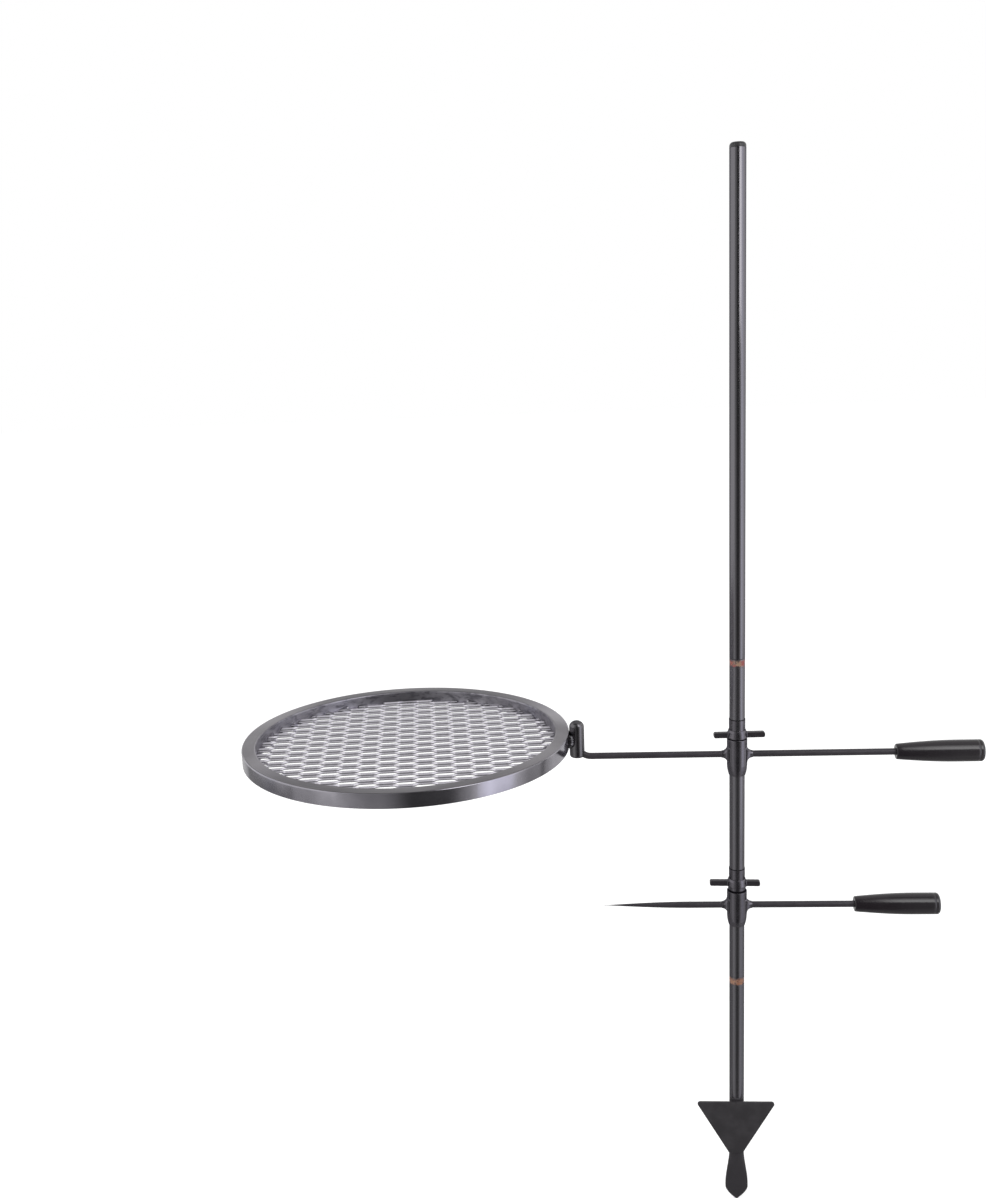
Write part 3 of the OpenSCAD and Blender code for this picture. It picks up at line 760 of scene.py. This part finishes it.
def matt_black():
    """Powder coat: fine orange-peel grain, faint dust and a little edge wear."""
    scratched = (0.1, 0.098, 0.1)
    f = Finish("powder_coat", Specular_IOR_Level=0.35)
    grain, cloud = f.noise(1500, 3, 0.6), f.noise(60, 4, 0.6)
    scratches = f.span(f.streaks((240, 240, 1800), 3, 0.6, distortion=0.6), 0.7, 0.78)
    base = f.blend(f.span(cloud, 0.35, 0.7), MATT_BLACK, MATT_BLACK_WORN)
    f.set("Base Color", f.blend(f.times(scratches, 0.35), base, scratched))
    f.set("Roughness", f.span(cloud, 0.3, 0.75, 0.5, 0.66))
    f.bumps((grain, 0.03 * MM), (f.noise(240, 2), 0.04 * MM))
    return f.material


def worn_band(name, strong, pale, low_z, high_z):
    """A painted ring that has rubbed thin: blotches of colour over the gunmetal, soft at both edges."""
    ragged, outside, solid, paint_rough = 3 * MM, -0.2 * MM, 2.6 * MM, 0.42
    f = gunmetal(name)
    blotch = f.plus(f.noise(210, 5, 0.65, distortion=0.6), f.times(f.noise(900, 3, 0.6), 0.25))
    z = f.plus(f.axis("Z"), f.times(f.math("SUBTRACT", f.noise(320, 3), 0.5), ragged))
    inside = f.math("MINIMUM", f.math("SUBTRACT", z, low_z), f.math("SUBTRACT", high_z, z))
    cover = f.times(f.span(inside, outside, solid), f.span(blotch, 0.45, 0.7, 0.3, 0.92))
    paint = f.blend(f.span(f.noise(110, 3), 0.35, 0.65), strong, pale)
    f.set("Base Color", f.blend(cover, f.fed("Base Color"), paint))
    f.set("Metallic", f.span(cover, 0, 1, 0.9, 0.1))
    f.set("Roughness", f.math("MAXIMUM", f.fed("Roughness"), f.times(cover, paint_rough)))
    return f.material


def cast_coat(name, dark, pale, rough):
    """Satin coat on a casting: slightly uneven surface, rubbed brighter on high spots."""
    worn = tuple(1.6 * level for level in pale)
    f = Finish(name, Metallic=0.97, Specular_Tint=(0.4, 0.4, 0.42))
    cloud, grain = f.noise(120, 4, 0.6), f.noise(1300, 2, 0.5)
    rub = f.span(f.noise(260, 4, 0.7, distortion=0.5), 0.62, 0.8)
    f.set("Base Color", f.blend(f.times(rub, 0.35), f.blend(cloud, dark, pale), worn))
    f.set("Roughness", f.span(cloud, 0.3, 0.7, rough - 0.04, rough + 0.06))
    f.bumps((f.noise(300, 3), 0.03 * MM), (grain, 0.006 * MM))
    return f


def with_painted_shade_ring(name, z):
    """The clamps' coat, and a ring of painted shade on a thread's foot or a lip's edge, where a recess or gap
    lies in shade.
    """
    tall, edge, fade = 1.7 * MM, 0.2 * MM, 0.5 * MM
    shade_black, shade_black_pale, shade_ring_rough = (0.008, 0.007, 0.01), (0.018, 0.016, 0.02), 0.6
    f = cast_coat(name, **CLAMP_LOOK)
    height = f.axis("Z")
    # painted shade: a near-black ring where the thread's foot or the lip's edge lies in shade
    shade_ring = f.times(f.span(height, z - edge, z + edge), f.span(height, z + tall, z + tall + fade, 1.0, 0.0))
    shade_ring_colour = f.blend(f.noise(500, 3), shade_black, shade_black_pale)
    f.set("Base Color", f.blend(shade_ring, f.fed("Base Color"), shade_ring_colour))
    f.set("Roughness", f.math("MAXIMUM", f.fed("Roughness"), f.times(shade_ring, shade_ring_rough)))
    return f.material


def wing_coat():
    """The clamps' coat on the collar's barrel, and a black dip on the wings that stand out from it."""
    dipped, dipped_pale = (0.026, 0.023, 0.027), (0.044, 0.04, 0.046)
    f = cast_coat("wing_coat", **CLAMP_LOOK)
    out = f.distance(f.axis("X"), f.axis("Y"))
    wing = f.span(out, POLE_R + 2.3 * MM, POLE_R + 3.2 * MM)
    f.set("Base Color", f.blend(wing, f.fed("Base Color"), f.blend(f.noise(400, 3), dipped, dipped_pale)))
    f.set("Metallic", f.span(wing, 0, 1, 0.97, 0.15))
    return f.material


def rod_coat():
    """Satin black coat on drawn rod, with fine lines along it and small scuffs."""
    black, pale, scuffed = (0.046, 0.041, 0.048), (0.064, 0.058, 0.067), (0.15, 0.145, 0.155)
    f = Finish("rod_coat", Metallic=0.35, Specular_IOR_Level=0.3)
    lines = f.streaks((14, 1900, 1900), 3, 0.5)
    cloud = f.noise(90, 4, 0.6)
    scuff = f.span(f.streaks((700, 200, 200), 4, 0.65, distortion=0.5), 0.68, 0.8)
    f.set("Base Color", f.blend(f.times(scuff, 0.4), f.blend(cloud, black, pale), scuffed))
    f.set("Roughness", f.span(cloud, 0.3, 0.7, 0.36, 0.48))
    f.bumps((lines, 0.006 * MM), (f.noise(600, 2), 0.015 * MM))
    return f.material


def grip_gloss():
    """Gloss black moulding with faint flow waves, hairline scratches and a soft moulding haze."""
    black, hazy = (0.012, 0.009, 0.012), (0.02, 0.016, 0.02)
    f = Finish("grip_gloss", Coat_Weight=0.3, Coat_Roughness=0.08)
    wave, haze = f.noise(140, 2, 0.4), f.noise(45, 4, 0.6)
    hair = f.span(f.streaks((60, 2400, 2400), 2, 0.5, distortion=0.3), 0.68, 0.76)
    f.set("Base Color", f.blend(haze, black, hazy))
    f.set("Roughness", f.plus(f.span(haze, 0.3, 0.7, 0.16, 0.24), f.times(hair, 0.12)))
    f.bumps((wave, 0.02 * MM), (f.noise(1100, 2), 0.003 * MM))
    return f.material


def rim_metal():
    """Dark plated sheet of the rim's walls: heat-tinted, scorched by the socket's weld, with painted shade in
    streaks on the inner wall and painted dark bands on the outer wall either side of the socket.
    """
    plated, pale, blued = (0.29, 0.279, 0.31), (0.37, 0.356, 0.392), (0.26, 0.265, 0.34)
    inner_wall_shade_colour, shade_band_colour, scorched = (0.17, 0.163, 0.185), (0.11, 0.106, 0.115), (0.07, 0.066, 0.07)
    f = Finish("rim_metal", Metallic=0.97)
    ring = around_grate(f)
    round_rim = f.axis("X", ring)
    brush = f.streaks((18, 2600, 2600), 3, 0.6, source=ring)
    cloud, tint = f.noise(26, 4, 0.6), f.noise(11, 3, 0.5)
    base = f.blend(f.span(cloud, 0.3, 0.7), plated, pale)
    base = f.blend(f.span(tint, 0.48, 0.68, 0, 0.35), base, blued)
    inside = f.span(f.axis("Y", ring), GRATE_R - 13 * MM, GRATE_R - 12 * MM, 1.0, 0.0)
    # painted shade: darker mottled streaks on the inner wall, which lies in shade
    inner_wall_shade = f.span(f.streaks((70, 110, 200), 4, 0.6, distortion=0.5, source=ring), 0.42, 0.66)
    base = f.blend(f.times(inside, inner_wall_shade), base, inner_wall_shade_colour)
    from_weld = f.math("ABSOLUTE", f.plus(round_rim, f.times(tint, 8 * MM)))
    scorch = f.times(f.span(from_weld, 8 * MM, 26 * MM, 1.0, 0.0),
                     f.span(f.noise(120, 4, 0.6), 0.3, 0.6, 0.5, 1.0))
    # painted shade: dark bands on the outer wall at a fixed distance either side of the socket, standing for
    # dark reflections there
    from_shade_band = f.math("ABSOLUTE", f.math("SUBTRACT", f.math("ABSOLUTE", round_rim), 104 * MM))
    haze = f.math("SUBTRACT", f.span(from_shade_band, 12 * MM, 34 * MM, 1.0, 0.0), inside)
    base = f.blend(f.times(f.math("MAXIMUM", haze, 0.0), 0.6), base, shade_band_colour)
    f.set("Base Color", f.blend(f.times(scorch, 0.85), base, scorched))
    polish = f.plus(f.span(cloud, 0.3, 0.7, 0.1, 0.16), f.times(brush, 0.04))
    f.set("Roughness", f.math("MAXIMUM", polish, f.times(inside, 0.38)))
    f.bumps((brush, 0.002 * MM), (f.noise(60, 2), 0.05 * MM))
    return f.material


def rim_top_metal():
    """The same sheet on the rim's flat top, brushed round and round, with a painted sheen: lighter towards
    the arm's line and darker to the front and back.
    """
    bright, dark = (0.46, 0.445, 0.47), (0.19, 0.182, 0.198)
    clouded, brushed = (0.33, 0.316, 0.333), (0.43, 0.415, 0.43)
    f = Finish("rim_top_metal", Metallic=0.97, Anisotropic=0.9)
    ring = around_grate(f)
    brush = f.streaks((18, 2600, 2600), 3, 0.6, source=ring)
    coarse = f.streaks((30, 500, 500), 3, 0.6, source=ring)
    cloud = f.noise(26, 4, 0.6)
    # painted sheen: the top's colour goes lighter towards the arm's line and darker to the front and back, as
    # the brushed top catches the light
    across = f.math("ABSOLUTE", f.math("SINE", f.math("DIVIDE", f.axis("X", ring), GRATE_R)))
    base = f.blend(f.span(across, 0.3, 0.95), bright, dark)
    base = f.blend(f.span(cloud, 0.3, 0.7, 0, 0.25), base, clouded)
    f.set("Base Color", f.blend(f.span(coarse, 0.35, 0.75, 0, 0.25), base, brushed))
    f.set("Roughness", f.plus(f.span(cloud, 0.3, 0.7, 0.36, 0.46), f.times(brush, 0.1)))
    f.set("Tangent", f.add("ShaderNodeTangent", direction_type="RADIAL", axis="Z").outputs[0])
    f.bumps((brush, 0.004 * MM), (coarse, 0.004 * MM))
    return f.material


def zinc_mesh():
    """Bright zinc plate on expanded steel: dark sides that are partly the cut edge and partly painted shade,
    with shear marks, spangle and dull spots.
    """
    zinc, zinc_pale, zinc_dull = (0.74, 0.715, 0.78), (0.84, 0.815, 0.88), (0.6, 0.58, 0.63)
    sheared_and_shaded, sheared_and_shaded_pale = (0.1, 0.096, 0.107), (0.2, 0.194, 0.213)
    f = Finish("zinc_mesh", Metallic=0.85)
    cloud, fine = f.noise(180, 4, 0.6), f.noise(1500, 3, 0.6)
    shear = f.streaks((1400, 260, 260), 3, 0.6)
    dull = f.span(f.noise(70, 4, 0.65), 0.5, 0.75)
    cut = f.add("ShaderNodeAttribute", attribute_name="cut_side_and_shade").outputs["Fac"]
    plate = f.blend(f.times(dull, 0.5), f.blend(cloud, zinc, zinc_pale), zinc_dull)
    # painted shade: the attribute darkens the strand's sides and the edge at each bond, partly for the cut
    # edge
    f.set("Base Color", f.blend(f.span(cut, 0.1, 0.9), plate, f.blend(shear, sheared_and_shaded, sheared_and_shaded_pale)))
    f.set("Roughness", f.plus(f.span(cloud, 0.3, 0.7, 0.26, 0.38), f.times(cut, 0.25)))
    f.bumps((shear, 0.01 * MM), (fine, 0.004 * MM))
    return f.material


def turned_steel():
    """Bare steel with fine turning rings."""
    f = Finish("turned_steel", Metallic=1.0)
    rings = f.streaks((200, 200, 3000), 2, 0.5)
    f.set("Base Color", f.blend(rings, (0.5, 0.5, 0.51), (0.62, 0.62, 0.63)))
    f.set("Roughness", f.span(rings, 0.3, 0.7, 0.25, 0.4))
    f.bumps((rings, 0.01 * MM))
    return f.material


def cap_moulding():
    """Satin black moulding of the pole's cap."""
    f = Finish("cap_moulding", Specular_IOR_Level=0.5)
    cloud = f.noise(200, 3, 0.6)
    f.set("Base Color", f.blend(cloud, (0.022, 0.021, 0.023), (0.034, 0.033, 0.035)))
    f.set("Roughness", f.span(cloud, 0.3, 0.7, 0.3, 0.42))
    f.bumps((f.noise(900, 2), 0.01 * MM))
    return f.material


def dress():
    """Gives every shown piece the finish of its material slot, and some pieces a finish of their own."""
    finishes = {
        "pole_paint": gunmetal("tube_coat").material,
        "plate_paint": matt_black(),
        "depth_band": worn_band("orange_band", (0.3, 0.09, 0.035), (0.4, 0.21, 0.13), BAND_LOW, BAND_HIGH),
        "joint_band": worn_band("red_band", (0.36, 0.085, 0.075), (0.4, 0.26, 0.17),
                                low("joint_ring").z, high("joint_ring").z),
        "bare_steel": turned_steel(),
        "cap_plastic": cap_moulding(),
        "clamp_metal": cast_coat("clamp_coat", **CLAMP_LOOK).material,
        "rod_paint": rod_coat(),
        "grip_black": grip_gloss(),
        "rim_steel": rim_metal(),
        "mesh_plated": zinc_mesh(),
        "socket_paint": cast_coat("socket_coat", **SOCKET_LOOK).material,
    }
    wings, lip = wing_coat(), 0.6 * MM
    # the hubs and collets carry a ring of painted shade at a thread's foot or a lip's edge
    own = {"stake_tube": stake_finish(), "upper_wing_cast": wings, "lower_wing_cast": wings,
           "grate_hub_cast": with_painted_shade_ring("upper_thread", UPPER_ARM_Z + HUB_TOP),
           "skewer_hub_cast": with_painted_shade_ring("lower_thread", LOWER_ARM_Z + HUB_TOP),
           "upper_collet": with_painted_shade_ring("upper_lip", high("upper_collet").z - lip),
           "lower_collet": with_painted_shade_ring("lower_lip", high("lower_collet").z - lip)}
    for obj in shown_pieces():
        name = obj.get("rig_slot") or slot_of[obj["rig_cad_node"]]
        obj.data.materials.clear()
        obj.data.materials.append(own.get(obj.name, finishes[name]))
    rim = bpy.data.objects["rolled_rim"].data
    rim.materials.append(rim_top_metal())
    for face in rim.polygons:
        face.material_index = 1 if face.normal.z > 0.8 and face.center.z > RIM_TOP - 0.5 * MM else 0


# The studio

def make_camera():
    """The photograph's camera, fitted to the pole, the rim's ellipse and the arms."""
    place = Vector((-0.1498, -1.2750, 0.8591))
    azimuth, pitch, roll = (math.radians(a) for a in (-4.484, 12.464, 2.371))
    lens, sensor_width = 38.05, 36
    ahead = Vector((math.sin(azimuth) * math.cos(pitch), math.cos(azimuth) * math.cos(pitch),
                    -math.sin(pitch)))
    right = Vector((math.cos(azimuth), -math.sin(azimuth), 0))
    down = -right.cross(ahead)
    side = right * math.cos(roll) + down * math.sin(roll)
    below = down * math.cos(roll) - right * math.sin(roll)
    turn = Matrix((side, -below, -ahead)).transposed().to_4x4()
    data = bpy.data.cameras.new("camera")
    data.lens = lens
    data.sensor_width = sensor_width
    camera = bpy.data.objects.new("camera", data)
    camera.matrix_world = Matrix.Translation(place) @ turn
    bpy.context.scene.collection.objects.link(camera)
    bpy.context.scene.camera = camera


def emptied(owner):
    """A material's or world's node tree, cleared for new nodes."""
    owner.use_nodes = True
    owner.node_tree.nodes.clear()
    return Nodes(owner.node_tree)


def seen_directly(n, rays):
    """1 for the camera's rays and for rays that only pass through something, 0 for all others."""
    return n.math("MAXIMUM", rays.outputs["Is Camera Ray"], rays.outputs["Is Transmission Ray"])


def plain_emission(name, level, tint=(1, 1, 1)):
    """A material that only gives off light."""
    material = bpy.data.materials.new(name)
    n = emptied(material)
    light = n.add("ShaderNodeEmission")
    light.inputs["Color"].default_value = (level * tint[0], level * tint[1], level * tint[2], 1)
    n.link(light.outputs[0], n.add("ShaderNodeOutputMaterial").inputs["Surface"])
    return material


def stage_card(name, corners, material):
    """A flat card of the studio, which is no part of the object."""
    mesh = bpy.data.meshes.new(name)
    mesh.from_pydata(corners, [], [tuple(range(len(corners)))])
    obj = bpy.data.objects.new(name, mesh)
    obj.data.materials.append(material)
    bpy.context.scene.collection.objects.link(obj)
    return obj


def mirrored_card(name, corners, material):
    """A card that shows only in reflections."""
    card = stage_card(name, corners, material)
    card.visible_camera = False
    card.visible_diffuse = False
    card.visible_shadow = False
    card.visible_transmission = False


def upright(a, b, foot, top):
    """Corners of an upright card over the line from a to b on the ground."""
    return [(*a, foot), (*b, foot), (*b, top), (*a, top)]


def sloped(x0, x1, near, far):
    """Corners of a card between two edges along X, each given as (y, z)."""
    return [(x0, *near), (x1, *near), (x1, *far), (x0, *far)]


def make_floor():
    """Pale floor that looks white to the camera and keeps the object's shadow."""
    reach, z, pale, lift = 12, TIP_Z - 0.05 * MM, 0.8, 0.42
    material = bpy.data.materials.new("studio_floor")
    n = emptied(material)
    matt = n.add("ShaderNodeBsdfDiffuse")
    matt.inputs["Color"].default_value = (pale, pale, pale, 1)
    glow = n.add("ShaderNodeEmission")
    n.link(n.times(seen_directly(n, n.add("ShaderNodeLightPath")), lift), glow.inputs["Strength"])
    both = n.add("ShaderNodeAddShader")
    n.link(matt.outputs[0], both.inputs[0])
    n.link(glow.outputs[0], both.inputs[1])
    n.link(both.outputs[0], n.add("ShaderNodeOutputMaterial").inputs["Surface"])
    floor = stage_card("floor", sloped(-reach, reach, (-reach, z), (reach, z)), material)
    floor.visible_glossy = False


def make_world():
    """A white studio. Polished metal sees it dimmer overhead, low down and to the left."""
    heights = [(-1, 0.3), (-0.3, 0.8), (0.3, 0.85), (0.6, 0.62), (1, 0.58)]
    sides = [(-1, 0.7), (-0.4, 0.8), (0.5, 1.0)]
    for_matt, for_camera = 0.75, 1.0
    world = bpy.data.worlds.new("studio")
    bpy.context.scene.world = world
    n = emptied(world)
    way = n.add("ShaderNodeTexCoord").outputs["Generated"]
    mirrored = n.times(n.greys(n.axis("Z", way), -1, 1, heights), n.greys(n.axis("X", way), -1, 1, sides))
    rays = n.add("ShaderNodeLightPath")
    level = n.choose(rays.outputs["Is Glossy Ray"], for_matt, mirrored)
    light = n.add("ShaderNodeBackground")
    light.inputs["Color"].default_value = (1, 1, 1, 1)
    n.link(n.choose(seen_directly(n, rays), level, for_camera), light.inputs["Strength"])
    n.link(light.outputs[0], n.add("ShaderNodeOutputWorld").inputs["Surface"])


def shaded_across(name, left, right, stops):
    """Light whose level changes from left to right."""
    material = plain_emission(name, 1)
    n = Nodes(material.node_tree)
    spot = n.add("ShaderNodeTexCoord").outputs["Object"]
    n.link(n.greys(n.axis("X", spot), left, right, stops), n.tree.nodes["Emission"].inputs["Color"])
    return material


def make_cards():
    """What polished metal reflects: a front card, dark in its middle, bright strips and fields round them."""
    y, foot, top, left, right = -1.0, -1.2, 2.2, -1.7, 1.05
    front, low_down, high_foot = y + 0.02, -0.27, 0.05
    mirrored_card("front_card", upright((left, y), (right, y), foot, top), shaded_across(
        "card_shaded", left, right, [(left, 0.72), (-1.2, 0.82), (-0.85, 0.48), (-0.5, 0.38), (-0.2, 0.06),
                                     (0.3, 0.07), (0.62, 0.4), (right, 1.0)]))
    for name, level, start, end, nearer, z0, z1 in (
            ("right_strip", 1.45, 0.0, 1.0, 0.0, low_down, top),
            ("right_strip_low", 0.75, 0.0, 1.0, 0.0, foot, low_down),
            ("right_slot", 1.9, 0.19, 0.36, -0.01, low_down, top)):
        a, b = ((right + 0.5 * t + nearer, y + 0.7 * t) for t in (start, end))
        mirrored_card(name, upright(a, b, z0, z1), plain_emission(name + "_light", level, (0.95, 0.96, 1.06)))
    strip_high = plain_emission("strip_high", 1.05)
    for name, corners, light in (
            ("left_low", upright((left, -0.45), (left, 1.1), foot, 0.02), plain_emission("left_dim", 0.31)),
            ("right_back_strip", upright((right + 0.5, y + 0.7), (right + 0.7, y + 2.6), -0.1, top),
             plain_emission("strip_soft", 1.2)),
            ("top_card", sloped(0.3, 1.4, (-1.0, 2.0), (-0.55, 2.15)), plain_emission("top_bright", 1.8)),
            ("front_high", upright((0.3, front), (1.4, front), 1.0, 2.0),
             plain_emission("front_bright", 3.1)),
            ("front_sky", sloped(left, 0.3, (y, top), (-0.15, 2.4)), plain_emission("sky_dim", 0.15)),
            ("left_front_high", upright((left, front), (-1.1, front), high_foot, top), strip_high),
            ("left_high", upright((left, y), (left, y + 2.2), high_foot, top), strip_high)):
        mirrored_card(name, corners, light)


def lamp(name, place, aim, size, power):
    """A soft lamp that doesn't show in reflections."""
    data = bpy.data.lights.new(name, "AREA")
    data.shape = "RECTANGLE"
    data.size, data.size_y = size
    data.energy = power
    obj = bpy.data.objects.new(name, data)
    obj.matrix_world = along(Vector(place) - Vector(aim), Vector(place))
    bpy.context.scene.collection.objects.link(obj)
    obj.visible_glossy = False


def make_lamps():
    """A key lamp from the front left and a lamp behind."""
    lamp("key_lamp", (-0.9, -1.1, 2.3), (-0.15, 0, 0.35), (1.2, 1.2), power=14)
    lamp("back_lamp", (0.5, 1.6, 2.0), (-0.15, 0, 0.4), (1.6, 0.8), power=12)


make_stake()
make_plate()
make_plate_welds()
make_socket_welds()
make_upper_tube()
make_cap()
make_castings()
for arm, arm_height in (("grate_arm", UPPER_ARM_Z), ("skewer_arm", LOWER_ARM_Z)):
    make_grip(arm, arm_height)
    make_grip_cap(arm, arm_height)
make_grate_rod()
make_rod("grate_grip_rod", "grate_arm_grip_rod", UPPER_ARM_Z)
make_rod("skewer_grip_rod", "skewer_arm_grip_rod", LOWER_ARM_Z)
make_skewer()
make_rim()
make_mesh()
make_socket()
dress()
make_camera()
make_floor()
make_world()
make_cards()
make_lamps()
bpy.context.scene.view_settings.view_transform = "Standard"
